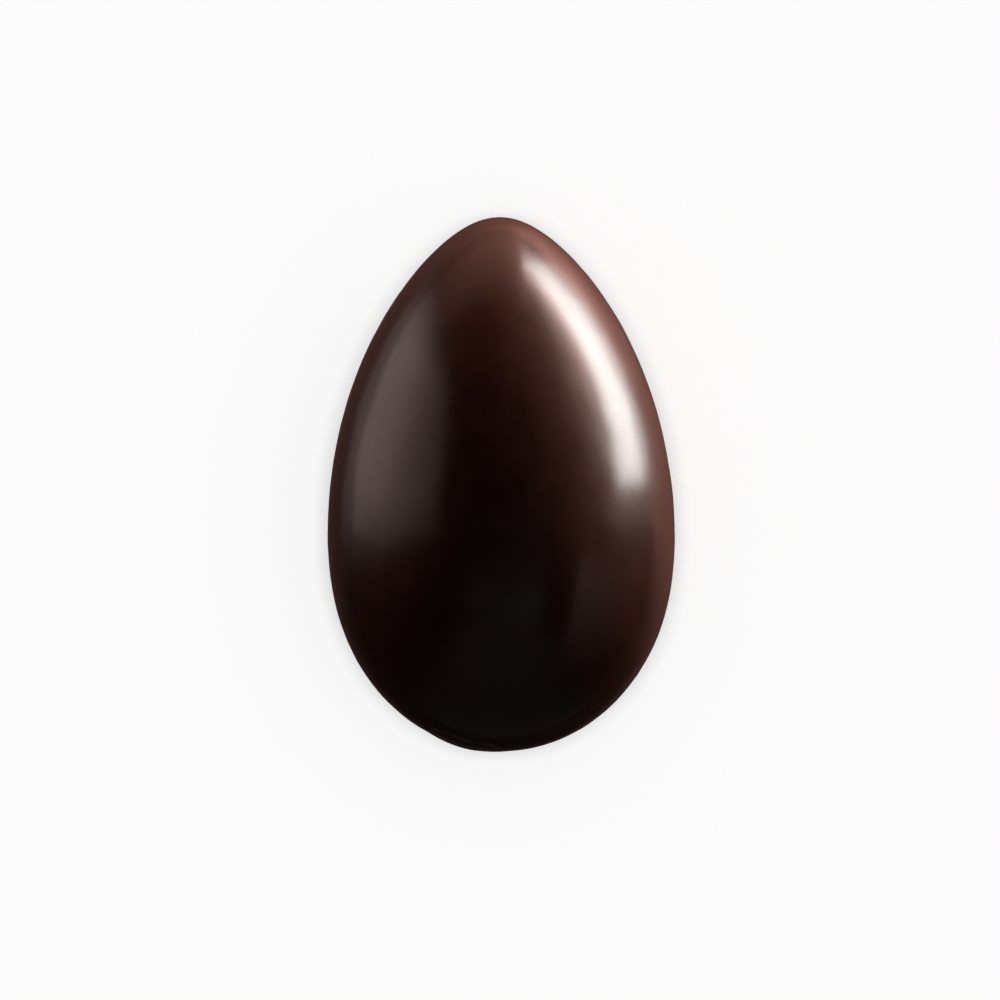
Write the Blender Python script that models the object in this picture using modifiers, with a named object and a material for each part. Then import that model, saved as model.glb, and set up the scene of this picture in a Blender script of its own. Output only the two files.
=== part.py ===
"""A dark chocolate egg, moulded as two halves and lying on the back one, with a small flat spot to rest on.

The long axis runs along Y with the pointed end at +Y, and the seam between the halves is level.
Run it with blender --background --python part.py, or from Blender's text editor.
"""

import math

import bmesh
import bpy
from mathutils import Vector

# Driving sizes, in metres
EGG_LENGTH = 0.180
MIDDLE_RADIUS = 0.0575
# How the radius departs from an ellipsoid's towards the pointed end: one factor for each power of the
# position along the axis, which runs from -1 at the blunt end to +1 at the pointed end.
TAPER = (-0.185, 0.036, -0.041, -0.096)
SEAM_GAP = 0.0003
RIM_ROUNDING = 0.0008
REST_DEPTH = 0.0007

# The lip where the back half's rim stands proud of the front half's, left of the blunt end
LIP_THICKNESS = 0.0020
LIP_PROUD = 0.0008
LIP_RECESS = 0.0004
LIP_START = math.radians(-4.0)
LIP_PEAK = math.radians(9.0)
LIP_END = math.radians(21.0)

# How finely the halves are faceted
AROUND_RIM = 84
RIM_TO_RIM = 42
ROUNDING_STEPS = 2
STEPS_ALONG_AXIS = 2000
SAME_LEVEL = 1e-6

CHOCOLATE = (0.060, 0.018, 0.010, 1.0)
CHOCOLATE_ROUGHNESS = 0.16


def fullness(position):
    """How wide the egg is at a position along its axis, as a share of the ellipsoid's width there."""
    return 1.0 + sum(factor * position ** (power + 1) for power, factor in enumerate(TAPER))


def widest_radius():
    """The egg's largest radius about its long axis."""
    positions = (-1.0 + 2.0 * step / STEPS_ALONG_AXIS for step in range(STEPS_ALONG_AXIS + 1))
    return MIDDLE_RADIUS * max(math.sqrt(1.0 - p * p) * fullness(p) for p in positions)


def lip_share(point):
    """How strongly the lip shows at a point of the rim, from 0 to 1."""
    bearing = math.atan2(-point.x, -point.y)
    if not LIP_START < bearing < LIP_END:
        return 0.0
    edge = LIP_START if bearing < LIP_PEAK else LIP_END
    return math.cos(0.5 * math.pi * (bearing - LIP_PEAK) / (edge - LIP_PEAK)) ** 2


def shape_egg(mesh):
    """Draws a unit ball out into the egg."""
    for vertex in mesh.verts:
        x, y, z = vertex.co
        radius = MIDDLE_RADIUS * fullness(y)
        vertex.co = (radius * x, 0.5 * EGG_LENGTH * y, radius * z)


def keep_below(mesh, level, upwards=1.0):
    """Cuts off all that lies beyond a level plane and closes the cut with one flat face."""
    cut = bmesh.ops.bisect_plane(
        mesh,
        geom=mesh.verts[:] + mesh.edges[:] + mesh.faces[:],
        dist=SAME_LEVEL,
        plane_co=(0.0, 0.0, level),
        plane_no=(0.0, 0.0, upwards),
        clear_outer=True,
    )
    edges = [item for item in cut["geom_cut"] if isinstance(item, bmesh.types.BMEdge)]
    bmesh.ops.contextual_create(mesh, geom=edges)
    mesh.normal_update()
    bmesh.ops.recalc_face_normals(mesh, faces=mesh.faces[:])


def move_rim(mesh, distance):
    """Pushes the rim out along the lip, or draws it in, with a band of the shell as wide as the lip is thick."""
    bmesh.ops.bisect_plane(
        mesh,
        geom=mesh.verts[:] + mesh.edges[:] + mesh.faces[:],
        dist=SAME_LEVEL,
        plane_co=(0.0, 0.0, -LIP_THICKNESS),
        plane_no=(0.0, 0.0, 1.0),
    )
    flattening = (2.0 * MIDDLE_RADIUS / EGG_LENGTH) ** 2
    for vertex in mesh.verts:
        if vertex.co.z > -LIP_THICKNESS - SAME_LEVEL:
            outward = Vector((vertex.co.x, vertex.co.y * flattening, 0.0)).normalized()
            vertex.co += outward * distance * lip_share(vertex.co)


def half_egg():
    """The lower half of the egg, closed by its flat seam face at height zero."""
    mesh = bmesh.new()
    bmesh.ops.create_uvsphere(mesh, u_segments=AROUND_RIM, v_segments=RIM_TO_RIM, radius=1.0)
    shape_egg(mesh)
    keep_below(mesh, 0.0)
    return mesh


def chocolate(name):
    """Dark chocolate with the gloss of a polished mould."""
    material = bpy.data.materials.new(name)
    material.use_nodes = True
    shader = material.node_tree.nodes["Principled BSDF"]
    shader.inputs["Base Color"].default_value = CHOCOLATE
    shader.inputs["Roughness"].default_value = CHOCOLATE_ROUGHNESS
    shader.inputs["Metallic"].default_value = 0.0
    return material


def add_half(name, mesh, collection, parent, height):
    """Makes an object from one half, with its rim rounded, at a height above the seam."""
    data = bpy.data.meshes.new(name)
    mesh.to_mesh(data)
    mesh.free()
    data.shade_smooth()
    data.set_sharp_from_angle(angle=math.radians(40.0))
    half = bpy.data.objects.new(name, data)
    half.data.materials.append(chocolate(name + "_chocolate"))
    half.parent = parent
    half.location = (0.0, 0.0, height)
    collection.objects.link(half)
    rounding = half.modifiers.new("rim_rounding", "BEVEL")
    rounding.width = RIM_ROUNDING
    rounding.segments = ROUNDING_STEPS
    rounding.limit_method = "ANGLE"
    rounding.angle_limit = math.radians(40.0)
    return half


def main():
    for item in list(bpy.data.objects):
        bpy.data.objects.remove(item, do_unlink=True)

    collection = bpy.data.collections.new("chocolate_egg")
    bpy.context.scene.collection.children.link(collection)

    radius = widest_radius()
    lower = half_egg()
    move_rim(lower, LIP_PROUD)
    keep_below(lower, REST_DEPTH - radius, upwards=-1.0)

    # The egg stands on its rest spot, midway between its two ends, with half the gap on each side of the seam.
    ends = [vertex.co.y for vertex in lower.verts]
    seam = bpy.data.objects.new("seam", None)
    seam.location = (0.0, -0.5 * (min(ends) + max(ends)), radius - REST_DEPTH + 0.5 * SEAM_GAP)
    collection.objects.link(seam)
    add_half("lower_half", lower, collection, seam, -0.5 * SEAM_GAP)

    upper = half_egg()
    move_rim(upper, -LIP_RECESS)
    bmesh.ops.scale(upper, vec=(1.0, 1.0, -1.0), verts=upper.verts[:])
    bmesh.ops.reverse_faces(upper, faces=upper.faces[:])
    add_half("upper_half", upper, collection, seam, 0.5 * SEAM_GAP)


main()
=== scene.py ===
"""The looks of a dark chocolate egg, moulded as two halves and lying on the back one.

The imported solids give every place: the egg's long axis runs along Y with the pointed end at +Y, the seam
between the halves is level, and the egg rests on a small flat spot at height zero. Everything is in metres.
"""

import logging
import math
from dataclasses import dataclass, field
from enum import Enum

import bmesh
import bpy
from mathutils import Matrix, Vector, noise


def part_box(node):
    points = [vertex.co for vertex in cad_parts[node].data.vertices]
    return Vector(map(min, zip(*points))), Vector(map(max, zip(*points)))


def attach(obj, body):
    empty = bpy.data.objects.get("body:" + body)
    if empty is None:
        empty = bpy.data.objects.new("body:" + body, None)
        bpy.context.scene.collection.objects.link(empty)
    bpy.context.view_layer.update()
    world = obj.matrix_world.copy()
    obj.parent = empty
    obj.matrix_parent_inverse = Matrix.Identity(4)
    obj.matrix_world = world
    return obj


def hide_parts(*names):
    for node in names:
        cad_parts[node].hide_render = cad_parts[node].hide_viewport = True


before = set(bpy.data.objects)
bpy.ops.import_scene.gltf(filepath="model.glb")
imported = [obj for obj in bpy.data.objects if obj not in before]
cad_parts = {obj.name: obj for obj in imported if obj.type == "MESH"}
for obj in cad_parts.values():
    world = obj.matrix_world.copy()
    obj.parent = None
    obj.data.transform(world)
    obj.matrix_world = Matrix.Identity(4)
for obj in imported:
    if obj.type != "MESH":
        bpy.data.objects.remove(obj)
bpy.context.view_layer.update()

LOG = logging.getLogger("chocolate_egg")
BODY = "root"
# Vertex attribute that marks where streaks of painted highlight lie along the rim.
HIGHLIGHT_STREAKS = "painted_highlight_streaks"


class Side(Enum):
    """Which half of the egg a piece belongs to. The value is the sign of its height above the seam."""

    FRONT = 1.0
    BACK = -1.0


def smooth_step(value: float, start: float, end: float) -> float:
    """Eases from 0 to 1 as a value goes from one limit to the other.

    Args:
        value: The value to ease.
        start: Where the result is still 0.
        end: Where the result is 1.

    Returns:
        A number from 0 to 1.
    """
    share = min(max((value - start) / (end - start), 0.0), 1.0)
    return share * share * (3.0 - 2.0 * share)


# Shapes


@dataclass(frozen=True)
class EggForm:
    """The mould's shape: an ellipsoid whose radius departs smoothly from round towards the pointed end.

    Attributes:
        middle: The middle of the long axis, at the height of the seam.
        length: The egg's length.
        middle_radius: Its radius about the long axis at the middle.
        taper: How the radius departs from an ellipsoid's, one factor for each power of the place along the axis.
    """

    middle: Vector
    length: float = 0.180
    middle_radius: float = 0.0575
    taper: tuple[float, ...] = (-0.185, 0.036, -0.041, -0.096)

    def fullness(self, place: float) -> float:
        """Gives the radius as a share of the ellipsoid's, at a place from -1, blunt, to +1, pointed."""
        return 1.0 + sum(factor * place ** (power + 1) for power, factor in enumerate(self.taper))

    def fullness_slope(self, place: float) -> float:
        """Gives how fast the fullness changes with the place along the axis."""
        return sum((power + 1) * factor * place**power for power, factor in enumerate(self.taper))

    def point(self, way: Vector) -> Vector:
        """Gives the surface point, from the middle, that a point of the unit ball is drawn out to."""
        radius = self.middle_radius * self.fullness(way.y)
        return Vector((radius * way.x, 0.5 * self.length * way.y, radius * way.z))

    def normal(self, way: Vector) -> Vector:
        """Gives the outward direction of the surface at a point of the unit ball."""
        round_part = max(1.0 - way.y * way.y, 1e-9)
        slope = self.fullness(way.y) * way.y - round_part * self.fullness_slope(way.y)
        along = 2.0 * self.middle_radius / self.length * slope
        return Vector((way.x, along, way.z)).normalized()


@dataclass(frozen=True)
class SeamLip:
    """The stretch of the seam, left of the blunt end, where the back half's rim stands proud of the front's.

    Attributes:
        start: Bearing where it begins, from the blunt end towards -X.
        peak: Bearing where it stands out most.
        end: Bearing where it has died away.
        proud: How far the back half stands out at the peak.
        recess: How far the front half is drawn in at the peak.
        thickness: Height of the band of each half that moves with its rim.
        blend: Height over which that band eases back into the shell.
        bead: How much rounder the rims are at the peak.
        crest: How far the back half's rim swells up at the peak.
    """

    start: float = math.radians(-4.0)
    peak: float = math.radians(9.0)
    end: float = math.radians(21.0)
    proud: float = 0.0008
    recess: float = 0.0004
    thickness: float = 0.0030
    blend: float = 0.0040
    bead: float = 0.00005
    crest: float = 0.00010

    def share(self, point: Vector) -> float:
        """Gives how strongly the lip shows at the bearing of a point, from 0 to 1."""
        bearing = math.atan2(-point.x, -point.y)
        if not self.start < bearing < self.end:
            return 0.0
        edge = self.start if bearing < self.peak else self.end
        return math.cos(0.5 * math.pi * (bearing - self.peak) / (edge - self.peak)) ** 2

    def move(self, point: Vector, depth: float, side: Side) -> float:
        """Gives how far a point moves outward because of the lip.

        Args:
            point: The point, from the egg's middle.
            depth: Its distance from the seam.
            side: The half that it belongs to.

        Returns:
            The outward distance, which is negative where the front half is drawn in.
        """
        reach = self.proud if side is Side.BACK else -self.recess
        fade = 1.0 - smooth_step(depth, self.thickness, self.thickness + self.blend)
        return reach * fade * self.share(point)


@dataclass(frozen=True)
class JointGroove:
    """The open joint inside the back half's rim, which shows as a dark line where that rim stands proud.

    Attributes:
        ledge: Width of the rim outside the groove.
        width: Width of the groove, most of which is under the front half.
        depth: Its depth.
        slope: How far its walls lean.
    """

    ledge: float = 0.00018
    width: float = 0.00090
    depth: float = 0.0014
    slope: float = 0.00005

    def profile(self, crest: float) -> list[tuple[float, float]]:
        """Lists the joint face from the inside out, as distances in from the rim and heights.

        Args:
            crest: How far the rim swells up here.

        Returns:
            Pairs of a distance and a height.
        """
        inner = self.ledge + self.width
        return [
            (inner + self.slope, 0.0),
            (inner, -self.depth),
            (self.ledge + self.slope, -self.depth),
            (self.ledge, 0.0),
            (0.8 * self.ledge, 0.7 * crest),
            (0.5 * self.ledge, crest),
            (0.2 * self.ledge, 0.7 * crest),
        ]


@dataclass(frozen=True)
class HighlightStreak:
    """A streak of painted highlight: a lighter, rougher band painted onto the gloss where the rim catches light.

    Attributes:
        bearing: Bearing of its middle, from the blunt end towards -X.
        height: Height of its middle from the seam.
        length: How far it reaches around the egg.
        width: How far it reaches up the egg.
        lean: How much it rises for each unit around the egg.
        strength: How strongly it shows at its middle.
    """

    bearing: float
    height: float
    length: float
    width: float
    lean: float
    strength: float

    def share(self, point: Vector) -> float:
        """Gives how strongly it shows at a point, from the egg's middle."""
        around = (math.atan2(-point.x, -point.y) - self.bearing) * math.hypot(point.x, point.y)
        rise = point.z - self.height - self.lean * around
        reach = (2.0 * around / self.length) ** 2 + (2.0 * rise / self.width) ** 2
        return self.strength * math.exp(-1.5 * reach)


@dataclass(frozen=True)
class Unevenness:
    """The slow swells that a moulded shell keeps after it shrinks from its mould.

    Attributes:
        height: How far the broad swells depart from the mould's shape.
        width: Their size.
        fine_height: The same for the finer ripples.
        fine_width: Their size.
    """

    height: float = 0.00025
    width: float = 0.045
    fine_height: float = 0.000080
    fine_width: float = 0.011

    def at(self, point: Vector, start: float) -> float:
        """Gives the outward departure at a point; start picks the pattern."""
        shift = Vector((start, 2.0 * start, 3.0 * start))
        broad = noise.noise(point / self.width + shift)
        fine = noise.noise(point / self.fine_width - shift)
        return self.height * broad + self.fine_height * fine


@dataclass
class EggHalf:
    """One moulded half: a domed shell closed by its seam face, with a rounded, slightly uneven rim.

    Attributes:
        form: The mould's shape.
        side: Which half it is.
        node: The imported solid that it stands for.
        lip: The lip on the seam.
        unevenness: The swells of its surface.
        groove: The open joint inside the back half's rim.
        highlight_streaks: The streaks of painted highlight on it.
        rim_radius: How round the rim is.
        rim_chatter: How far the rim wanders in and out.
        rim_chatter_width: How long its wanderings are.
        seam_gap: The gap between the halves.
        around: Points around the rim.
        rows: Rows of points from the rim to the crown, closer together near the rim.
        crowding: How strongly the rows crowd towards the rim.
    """

    form: EggForm
    side: Side
    node: str
    lip: SeamLip = field(default_factory=SeamLip)
    unevenness: Unevenness = field(default_factory=Unevenness)
    groove: JointGroove = field(default_factory=JointGroove)
    highlight_streaks: tuple[HighlightStreak, ...] = ()
    rim_radius: float = 0.00045
    rim_chatter: float = 0.00010
    rim_chatter_width: float = 0.006
    seam_gap: float = 0.0003
    around: int = 400
    rows: int = 110
    crowding: float = 1.7

    def way(self, row: int, column: int) -> Vector:
        """Gives the point of the unit ball for a row, from the rim up, and a column around it."""
        lift = 0.5 * math.pi * (row / self.rows) ** self.crowding
        turn = 2.0 * math.pi * column / self.around
        flat = math.cos(lift)
        return Vector((flat * math.cos(turn), flat * math.sin(turn), self.side.value * math.sin(lift)))

    def surface(self, way: Vector) -> Vector:
        """Gives the finished surface point for a point of the unit ball, from the egg's middle."""
        start = 3.7 if self.side is Side.FRONT else 11.3
        point = self.form.point(way)
        normal = self.form.normal(way)
        depth = abs(point.z)
        level = Vector((normal.x, normal.y, 0.0)).normalized() if depth < 0.02 else Vector()
        point += normal * self.unevenness.at(point, start)
        point += level * self.lip.move(point, depth, self.side)
        rounding = self.rim_radius + self.lip.bead * self.lip.share(point)
        if depth < rounding:
            rise = rounding - depth
            point -= level * (rounding - math.sqrt(rounding**2 - rise**2))
        chatter = noise.noise(point / self.rim_chatter_width + Vector((start, start, 0.0)))
        point += level * self.rim_chatter * chatter * (1.0 - smooth_step(depth, 0.0, 0.0025))
        point.z = self.side.value * depth + (point.z - self.side.value * depth) * smooth_step(depth, 0.0, 0.002)
        return point

    def build(self) -> bpy.types.Object:
        """Builds the half in place, resting on the floor where it is the back one.

        Returns:
            The mesh object.
        """
        mesh = bmesh.new()
        painted_highlight_streaks = mesh.verts.layers.float.new(HIGHLIGHT_STREAKS)
        place = self.form.middle + Vector((0.0, 0.0, 0.5 * self.side.value * self.seam_gap))
        rings = []
        for row in range(self.rows):
            ring = []
            for column in range(self.around):
                point = self.surface(self.way(row, column)) + place
                point.z = max(point.z, 0.0)
                ring.append(mesh.verts.new(point))
            rings.append(ring)
        crown_point = self.surface(Vector((0.0, 0.0, self.side.value))) + place
        crown_point.z = max(crown_point.z, 0.0)
        crown = mesh.verts.new(crown_point)
        if self.side is Side.BACK:
            rings = self.joint_face(mesh, rings[0]) + rings
        for lower, upper in zip(rings, rings[1:]):
            for column in range(self.around):
                beside = (column + 1) % self.around
                mesh.faces.new((lower[column], lower[beside], upper[beside], upper[column]))
        for column in range(self.around):
            mesh.faces.new((rings[-1][column], rings[-1][(column + 1) % self.around], crown))
        mesh.faces.new(reversed(rings[0]))
        if self.side is Side.BACK:
            bmesh.ops.reverse_faces(mesh, faces=mesh.faces[:])
        # Stores, for each point, how strongly a painted highlight streak lies on it.
        for vertex in mesh.verts:
            point = vertex.co - self.form.middle
            vertex[painted_highlight_streaks] = min(sum(streak.share(point) for streak in self.highlight_streaks), 1.0)
        data = bpy.data.meshes.new(self.node + "_shell")
        mesh.to_mesh(data)
        mesh.free()
        data.shade_smooth()
        data.set_sharp_from_angle(angle=math.radians(50.0))
        return bpy.data.objects.new(self.node + "_shell", data)

    def joint_face(self, mesh: bmesh.types.BMesh, rim: list[bmesh.types.BMVert]) -> list[list[bmesh.types.BMVert]]:
        """Adds the rings of the joint face inside the rim, from the innermost out.

        Args:
            mesh: The mesh to add to.
            rim: The rim's ring.

        Returns:
            The rings.
        """
        rings = []
        for step in range(len(self.groove.profile(0.0))):
            ring = []
            for vertex in rim:
                point = vertex.co - self.form.middle
                inward = Vector((-point.x, -point.y, 0.0)).normalized()
                distance, height = self.groove.profile(self.lip.crest * self.lip.share(point))[step]
                ring.append(mesh.verts.new(vertex.co + distance * inward + Vector((0.0, 0.0, height))))
            rings.append(ring)
        return rings


# Finishes


class Recipe:
    """Adds nodes to a shader tree and links them."""

    def __init__(self, tree: bpy.types.NodeTree) -> None:
        """Starts on a tree, which may already hold nodes."""
        self.tree = tree

    def node(self, kind: str, **settings: object) -> bpy.types.Node:
        """Adds a node.

        Args:
            kind: The node's type name, without the ShaderNode in front.
            settings: Its properties, and its inputs where a name is one of theirs.

        Returns:
            The new node.
        """
        made = self.tree.nodes.new("ShaderNode" + kind)
        for name, value in settings.items():
            if hasattr(made, name):
                setattr(made, name, value)
            else:
                made.inputs[name.replace("_", " ")].default_value = value
        return made

    def link(self, source: bpy.types.NodeSocket, target: bpy.types.NodeSocket) -> None:
        """Links an output to an input."""
        self.tree.links.new(source, target)

    def ramp(self, source: bpy.types.NodeSocket, stops: list[tuple[float, tuple[float, ...]]]) -> bpy.types.NodeSocket:
        """Maps a value to colours.

        Args:
            source: The value's output.
            stops: Places from 0 to 1 with their colours.

        Returns:
            The colour's output.
        """
        made = self.node("ValToRGB")
        elements = made.color_ramp.elements
        while len(elements) < len(stops):
            elements.new(0.5)
        for element, (place, colour) in zip(elements, stops):
            element.position = place
            element.color = (*colour, 1.0)
        self.link(source, made.inputs["Fac"])
        return made.outputs["Color"]

    def between(self, source: bpy.types.NodeSocket, low: float, high: float) -> bpy.types.NodeSocket:
        """Maps a value from 0 to 1 onto a range of numbers."""
        made = self.node("MapRange")
        made.inputs["To Min"].default_value = low
        made.inputs["To Max"].default_value = high
        self.link(source, made.inputs["Value"])
        return made.outputs["Result"]


@dataclass(frozen=True)
class TemperedChocolate:
    """Dark chocolate: a matt brown body under the gloss that a polished mould leaves on its skin, with streaks of
    painted highlight along the rim.

    Attributes:
        name: The material's name.
        deep: The darker brown of its faint clouding.
        warm: The redder, lighter brown.
        bloom: The colour that the body scatters back around a highlight.
        bloom_level: How strongly it does.
        body: The body's roughness where it is smoothest.
        body_haze: The body's roughness where it is least so.
        streak_colour: The lighter greyish brown painted on as a highlight where the rim catches light.
        streak_haze: How much rougher the body is under a painted highlight streak.
        skin: The roughness of the glossy skin.
        refraction: The index of refraction of the cocoa butter.
    """

    name: str = "tempered_chocolate"
    deep: tuple[float, float, float] = (0.024, 0.0056, 0.0030)
    warm: tuple[float, float, float] = (0.044, 0.0112, 0.0064)
    bloom: tuple[float, float, float] = (1.0, 0.52, 0.40)
    bloom_level: float = 0.31
    body: float = 0.34
    body_haze: float = 0.46
    streak_colour: tuple[float, float, float] = (0.26, 0.20, 0.185)
    streak_haze: float = 0.2
    skin: float = 0.17
    refraction: float = 1.5

    def material(self) -> bpy.types.Material:
        """Makes the material, or finds it if it is made already."""
        found = bpy.data.materials.get(self.name)
        if found:
            return found
        material = bpy.data.materials.new(self.name)
        material.use_nodes = True
        recipe = Recipe(material.node_tree)
        shader = material.node_tree.nodes["Principled BSDF"]
        places = recipe.node("TexCoord").outputs["Object"]
        cloud = recipe.node("TexNoise", Scale=55.0, Detail=4.0, Roughness=0.6)
        # This noise only breaks up the streaks of painted highlight.
        streak_breakup = recipe.node("TexNoise", Scale=160.0, Detail=4.0, Roughness=0.6)
        orange_peel = recipe.node("TexNoise", Scale=420.0, Detail=2.0, Roughness=0.5)
        for pattern in (cloud, streak_breakup, orange_peel):
            recipe.link(places, pattern.inputs["Vector"])
        colour = recipe.ramp(cloud.outputs["Fac"], [(0.3, self.deep), (0.7, self.warm)])
        # Painted highlight: a lighter grey-brown mixed into the base colour along the streaks, broken up by noise; the
        # streaks also make the body rougher.
        painted_streaks = recipe.node("Attribute", attribute_name=HIGHLIGHT_STREAKS).outputs["Fac"]
        painted_highlight = recipe.node("Math", operation="MULTIPLY")
        recipe.link(painted_streaks, painted_highlight.inputs[0])
        recipe.link(recipe.between(streak_breakup.outputs["Fac"], 0.4, 1.4), painted_highlight.inputs[1])
        both = recipe.node("Mix", data_type="RGBA")
        recipe.link(painted_highlight.outputs["Value"], both.inputs["Factor"])
        recipe.link(colour, both.inputs["A"])
        both.inputs["B"].default_value = (*self.streak_colour, 1.0)
        recipe.link(both.outputs["Result"], shader.inputs["Base Color"])
        roughness = recipe.node("Math", operation="MULTIPLY_ADD")
        recipe.link(painted_streaks, roughness.inputs[0])
        roughness.inputs[1].default_value = self.streak_haze
        recipe.link(recipe.between(cloud.outputs["Fac"], self.body, self.body_haze), roughness.inputs[2])
        recipe.link(roughness.outputs["Value"], shader.inputs["Roughness"])
        relief = recipe.node("Bump", Strength=0.05, Distance=0.0002)
        recipe.link(orange_peel.outputs["Fac"], relief.inputs["Height"])
        recipe.link(relief.outputs["Normal"], shader.inputs["Normal"])
        recipe.link(relief.outputs["Normal"], shader.inputs["Coat Normal"])
        shader.inputs["IOR"].default_value = self.refraction
        shader.inputs["Specular IOR Level"].default_value = self.bloom_level
        shader.inputs["Specular Tint"].default_value = (*self.bloom, 1.0)
        shader.inputs["Coat Weight"].default_value = 1.0
        shader.inputs["Coat Roughness"].default_value = self.skin
        shader.inputs["Coat IOR"].default_value = self.refraction
        return material

    def dress(self, piece: bpy.types.Object) -> None:
        """Gives a piece this finish."""
        piece.data.materials.clear()
        piece.data.materials.append(self.material())


# Stage, lights and camera


@dataclass(frozen=True)
class SoftPanel:
    """A soft light panel that faces the egg from one side.

    Attributes:
        name: The light's name.
        centre: Its centre, from the egg's middle.
        facing: The direction it shines in.
        length: Its size along the egg's long axis.
        height: Its size across that and across its facing.
        brightness: How bright its surface is.
        tint: The colour of its light.
        across: Shares of its brightness at places from 0 to 1 over its height, from the floor up.
        along: The same over its length, from the left or from the egg's blunt end.
    """

    name: str
    centre: tuple[float, float, float]
    facing: tuple[float, float, float]
    length: float
    height: float
    brightness: float
    tint: tuple[float, float, float] = (1.0, 0.92, 0.88)
    across: tuple[tuple[float, float], ...] = ((0.0, 1.0),)
    along: tuple[tuple[float, float], ...] = ((0.0, 1.0),)

    def build(self, middle: Vector, lit: bpy.types.Collection) -> bpy.types.Object:
        """Hangs the panel.

        Args:
            middle: The egg's middle.
            lit: The pieces that it lights.

        Returns:
            The light.
        """
        lamp = bpy.data.lights.new(self.name, "AREA")
        lamp.shape = "RECTANGLE"
        lamp.size = self.length
        lamp.size_y = self.height
        lamp.energy = math.pi * self.length * self.height * self.brightness
        lamp.color = self.tint
        outward = -Vector(self.facing).normalized()
        rise = Vector((0.0, 1.0, 0.0)) if abs(outward.z) > 0.7 else Vector((0.0, 0.0, 1.0))
        run = rise.cross(outward).normalized()
        rise = outward.cross(run)
        light = bpy.data.objects.new(self.name, lamp)
        turn = Matrix((run, rise, outward)).transposed().to_4x4()
        light.matrix_world = Matrix.Translation(middle + Vector(self.centre)) @ turn
        self.shade(lamp, run.x + run.y < 0.0)
        bpy.context.scene.collection.objects.link(light)
        light.light_linking.receiver_collection = lit
        light.light_linking.blocker_collection = lit
        light.visible_camera = False
        return light

    def shade(self, lamp: bpy.types.Light, turned: bool) -> None:
        """Makes the panel's brightness fall off towards its edges.

        Args:
            lamp: The panel's light.
            turned: Whether its own length runs towards the left or the blunt end.
        """
        lamp.use_nodes = True
        recipe = Recipe(lamp.node_tree)
        parts = recipe.node("SeparateXYZ")
        recipe.link(recipe.node("NewGeometry").outputs["Parametric"], parts.inputs["Vector"])
        along = [(1.0 - place, share) for place, share in reversed(self.along)] if turned else self.along
        both = recipe.node("Math", operation="MULTIPLY")
        for axis, falls in enumerate((along, self.across)):
            share = recipe.ramp(parts.outputs["XY"[axis]], [(place, (value,) * 3) for place, value in falls])
            recipe.link(share, both.inputs[axis])
        recipe.link(both.outputs["Value"], lamp.node_tree.nodes["Emission"].inputs["Strength"])


@dataclass(frozen=True)
class Stage:
    """A plain pale floor that runs off to a pale background, with overhead lamps of its own.

    Attributes:
        half_width: Half the floor's side.
        drop: How far the floor is below height zero, so that the egg's flat spot doesn't share its plane.
        albedo: The share of light that the floor scatters.
        paleness: How bright the floor and the background look.
        lamps: For each lamp, its name, how wide it looks and the share of the paleness that it gives.
        surroundings: How bright the room looks in the egg's gloss.
    """

    half_width: float = 12.0
    drop: float = 0.0002
    albedo: float = 0.8
    paleness: float = 0.97
    lamps: tuple[tuple[str, float, float], ...] = (
        ("floor_lamp", math.radians(14.0), 0.53),
        ("floor_sky", math.radians(110.0), 0.14),
    )
    surroundings: float = 0.004

    def build(self) -> None:
        """Lays the floor and sets the background and the floor's lamps."""
        bpy.ops.mesh.primitive_plane_add(size=2.0 * self.half_width, location=(0.0, 0.0, -self.drop))
        floor = bpy.context.active_object
        floor.name = "floor"
        floor.data.materials.append(self.floor_finish())
        floor.visible_glossy = False
        floor.visible_diffuse = False
        floor.visible_shadow = False
        lit = bpy.data.collections.new("floor_lit")
        lit.objects.link(floor)
        for name, angle, share in self.lamps:
            lamp = bpy.data.lights.new(name, "SUN")
            lamp.angle = angle
            lamp.energy = math.pi * share * self.paleness / self.albedo
            light = bpy.data.objects.new(name, lamp)
            light.location = (0.0, 0.0, 2.0)
            bpy.context.scene.collection.objects.link(light)
            light.light_linking.receiver_collection = lit
        self.background()

    def floor_finish(self) -> bpy.types.Material:
        """Makes the floor's material, which glows by the share of its paleness that no lamp gives."""
        material = bpy.data.materials.new("pale_floor")
        material.use_nodes = True
        recipe = Recipe(material.node_tree)
        nodes = material.node_tree.nodes
        nodes.remove(nodes["Principled BSDF"])
        matt = recipe.node("BsdfDiffuse", Color=(self.albedo,) * 3 + (1.0,))
        rest = 1.0 - sum(share for _, _, share in self.lamps)
        glow = recipe.node("Emission", Strength=rest * self.paleness)
        seen = recipe.node("AddShader")
        recipe.link(matt.outputs[0], seen.inputs[0])
        recipe.link(glow.outputs[0], seen.inputs[1])
        recipe.link(seen.outputs[0], nodes["Material Output"].inputs["Surface"])
        return material

    def background(self) -> None:
        """Sets a background that is pale to the eye and dim in the egg's gloss."""
        world = bpy.data.worlds.new("studio")
        bpy.context.scene.world = world
        world.use_nodes = True
        recipe = Recipe(world.node_tree)
        path = recipe.node("LightPath")
        strength = recipe.between(path.outputs["Is Camera Ray"], self.surroundings, self.paleness)
        recipe.link(strength, world.node_tree.nodes["Background"].inputs["Strength"])
        world.node_tree.nodes["Background"].inputs["Color"].default_value = (1.0, 1.0, 1.0, 1.0)


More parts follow.
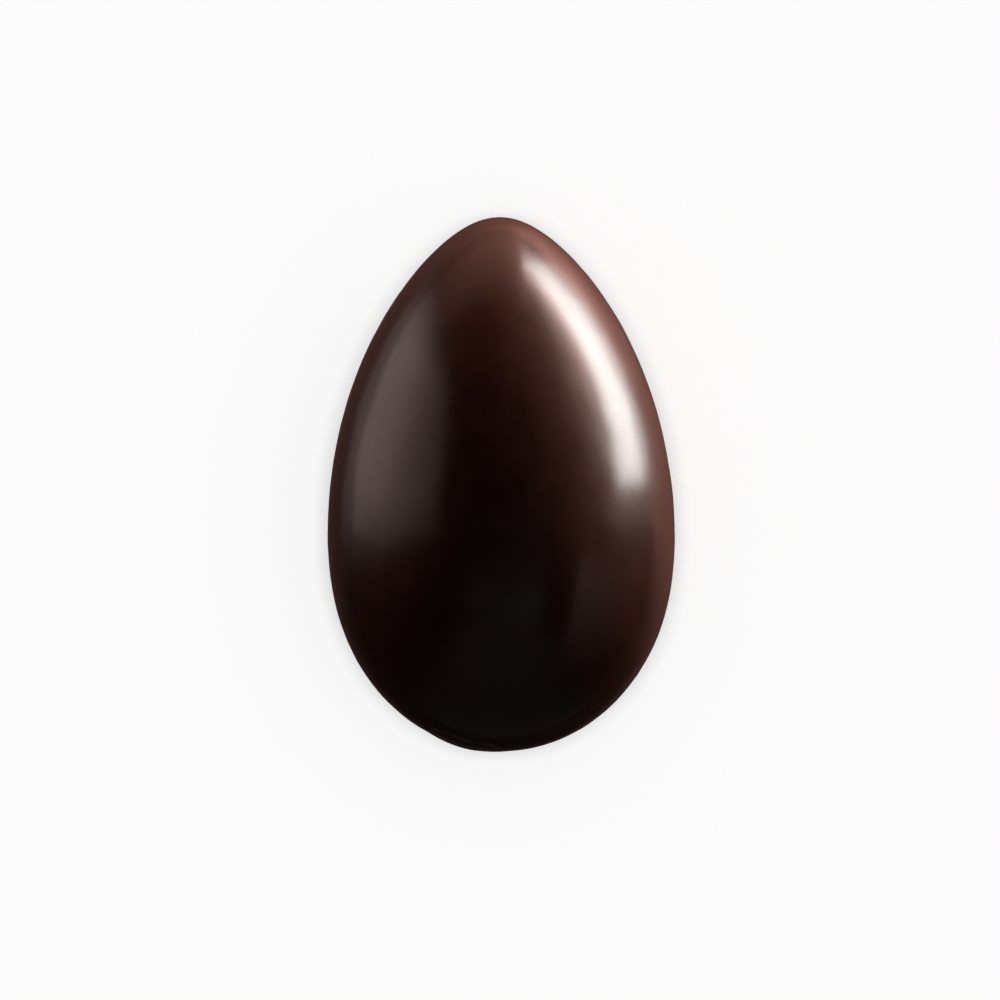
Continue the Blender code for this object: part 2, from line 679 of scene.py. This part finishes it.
@dataclass(frozen=True)
class Viewpoint:
    """The camera, looking straight down on the shown half.

    Attributes:
        lens: Focal length in millimetres.
        sensor: Width of the sensor in millimetres.
        field_width: Width of what it sees at the height of the seam.
        aim: Where it looks, from the egg's middle.
        roll: How far it is turned about its own axis.
    """

    lens: float = 240.0
    sensor: float = 36.0
    field_width: float = 0.3372
    aim: tuple[float, float] = (-0.00036, -0.0054)
    roll: float = math.radians(-0.29)

    def build(self, middle: Vector) -> None:
        """Hangs the camera over the egg and makes it the scene's."""
        data = bpy.data.cameras.new("camera")
        data.lens = self.lens
        data.sensor_width = self.sensor
        camera = bpy.data.objects.new("camera", data)
        distance = self.field_width * self.lens / self.sensor
        camera.location = middle + Vector((self.aim[0], self.aim[1], distance))
        camera.rotation_euler = (0.0, 0.0, self.roll)
        bpy.context.scene.collection.objects.link(camera)
        bpy.context.scene.camera = camera


@dataclass
class Studio:
    """The stage, the soft panels and the camera around the egg."""

    stage: Stage = field(default_factory=Stage)
    viewpoint: Viewpoint = field(default_factory=Viewpoint)
    panels: tuple[SoftPanel, ...] = (
        SoftPanel(
            name="right_strip",
            centre=(0.35, 0.60, -0.03),
            facing=(-1.0, 0.0, 0.0),
            length=1.20,
            height=0.34,
            brightness=14.0,
            tint=(1.0, 1.03, 1.01),
            across=((0.0, 0.0), (0.12, 0.19), (0.24, 0.38), (0.32, 0.72), (0.5, 1.0), (0.68, 0.93), (0.76, 0.46), (0.85, 0.0)),
            along=((0.025, 0.0), (0.05, 0.7), (0.08, 0.84), (0.25, 1.0), (0.42, 0.89), (0.62, 0.62), (1.0, 0.05)),
        ),
        SoftPanel(
            name="right_haze",
            centre=(0.36, 0.60, 0.0),
            facing=(-1.0, 0.0, 0.0),
            length=1.20,
            height=0.52,
            brightness=10.5,
            tint=(1.0, 0.79, 0.73),
            across=((0.0, 0.12), (0.2, 0.06), (0.4, 0.06), (0.6, 0.77), (0.69, 1.0), (0.77, 0.27), (0.85, 0.15), (1.0, 0.0)),
            along=((0.0, 0.05), (0.08, 0.05), (0.17, 0.2), (0.29, 0.5), (0.5, 1.0), (1.0, 0.6)),
        ),
        SoftPanel(
            name="left_card",
            centre=(-0.60, 0.34, 0.125),
            facing=(1.0, 0.0, 0.0),
            length=0.92,
            height=1.25,
            brightness=1.39,
            tint=(1.0, 0.82, 0.79),
            across=((0.0, 0.13), (0.18, 0.3), (0.23, 0.85), (0.44, 1.0), (0.56, 0.71), (0.68, 0.47), (0.84, 0.28), (1.0, 0.0)),
            along=((0.0, 0.0), (0.08, 0.07), (0.13, 0.46), (0.24, 0.8), (0.62, 1.0), (0.75, 0.62), (0.87, 0.2), (1.0, 0.0)),
        ),
        SoftPanel(
            name="tip_card",
            centre=(-0.175, 0.90, -0.10),
            facing=(0.0, -1.0, 0.0),
            length=1.05,
            height=1.00,
            brightness=2.1,
            tint=(1.0, 0.55, 0.45),
            along=((0.0, 0.1), (0.48, 0.38), (0.86, 0.48), (1.0, 1.0)),
            across=((0.0, 0.0), (0.5, 1.0), (0.75, 0.75), (1.0, 0.2)),
        ),
        SoftPanel(
            name="back_card",
            centre=(0.0, 0.15, -0.50),
            facing=(0.0, 0.0, 1.0),
            length=1.80,
            height=2.10,
            brightness=2.7,
            tint=(1.0, 0.46, 0.37),
            along=((0.0, 0.0), (0.28, 0.13), (0.56, 0.21), (0.78, 0.74), (1.0, 1.0)),
            across=((0.0, 0.01), (0.28, 0.01), (0.57, 0.25), (0.81, 1.0), (1.0, 0.7)),
        ),
        SoftPanel(
            name="low_card",
            centre=(0.0, -0.70, 0.25),
            facing=(0.0, 1.0, 0.0),
            length=1.30,
            height=1.50,
            brightness=0.075,
            tint=(1.0, 0.95, 1.03),
            across=((0.0, 0.3), (0.2, 0.34), (0.4, 0.42), (0.6, 0.75), (0.8, 0.9), (1.0, 0.7)),
            along=((0.0, 0.0), (0.25, 0.85), (0.5, 1.0), (0.75, 0.85), (1.0, 0.0)),
        ),
        SoftPanel(
            name="near_card",
            centre=(0.0, -0.20, 0.80),
            facing=(0.0, 0.0, -1.0),
            length=1.00,
            height=0.80,
            brightness=0.15,
            tint=(1.0, 1.03, 1.1),
            across=((0.0, 0.3), (0.2, 0.8), (0.5, 0.25), (1.0, 0.0)),
            along=((0.0, 0.0), (0.2, 0.35), (0.5, 0.6), (0.85, 0.9), (1.0, 0.0)),
        ),
        SoftPanel(
            name="side_card",
            centre=(0.50, -0.40, 0.0),
            facing=(-1.0, 0.0, 0.0),
            length=0.60,
            height=0.80,
            brightness=0.34,
            tint=(1.0, 0.74, 0.72),
            across=((0.0, 0.0), (0.38, 0.0), (0.7, 0.37), (1.0, 1.0)),
            along=((0.0, 0.0), (0.33, 0.31), (0.67, 0.66), (1.0, 1.0)),
        ),
    )

    def build(self, middle: Vector, lit: bpy.types.Collection) -> None:
        """Sets everything up around the egg's middle, with the pieces that the panels light."""
        self.stage.build()
        self.viewpoint.build(middle)
        for panel in self.panels:
            panel.build(middle, lit)
        scene = bpy.context.scene
        scene.view_settings.view_transform = "Standard"
        scene.view_settings.look = "None"


# Streaks of painted highlight: three where the front half's rim catches light, one along the back half's proud lip.
FRONT_HIGHLIGHT_STREAKS = (
    HighlightStreak(math.radians(15.0), 0.0158, 0.0044, 0.0026, -0.4, 1.6),
    HighlightStreak(math.radians(8.8), 0.0172, 0.0095, 0.0026, 0.3, 1.6),
    HighlightStreak(math.radians(1.8), 0.0142, 0.0085, 0.0028, 1.0, 1.6),
)
BACK_HIGHLIGHT_STREAKS = (HighlightStreak(math.radians(10.0), 0.0, 0.034, 0.004, 0.0, 1.0),)


def egg_middle() -> Vector:
    """Finds the middle of the egg's long axis, at the height of the seam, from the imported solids."""
    lower_low, lower_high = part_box("lower_half")
    upper_low, upper_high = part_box("upper_half")
    return Vector((0.0, upper_high.y - 0.5 * EggForm.length, 0.5 * (lower_high.z + upper_low.z)))


def main() -> None:
    """Builds the egg and the studio."""
    logging.basicConfig(level=logging.INFO, format="%(message)s")
    middle = egg_middle()
    form = EggForm(middle)
    finish = TemperedChocolate()
    pieces = bpy.data.collections.new("egg_pieces")
    bpy.context.scene.collection.children.link(pieces)
    halves = (
        EggHalf(form, Side.FRONT, "upper_half", highlight_streaks=FRONT_HIGHLIGHT_STREAKS),
        EggHalf(form, Side.BACK, "lower_half", highlight_streaks=BACK_HIGHLIGHT_STREAKS),
    )
    for half in halves:
        shell = half.build()
        pieces.objects.link(shell)
        finish.dress(shell)
        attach(shell, BODY)
        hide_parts(half.node)
        LOG.info("%s: %d faces", shell.name, len(shell.data.polygons))
    Studio().build(middle, pieces)


if __name__ == "__main__":
    main()
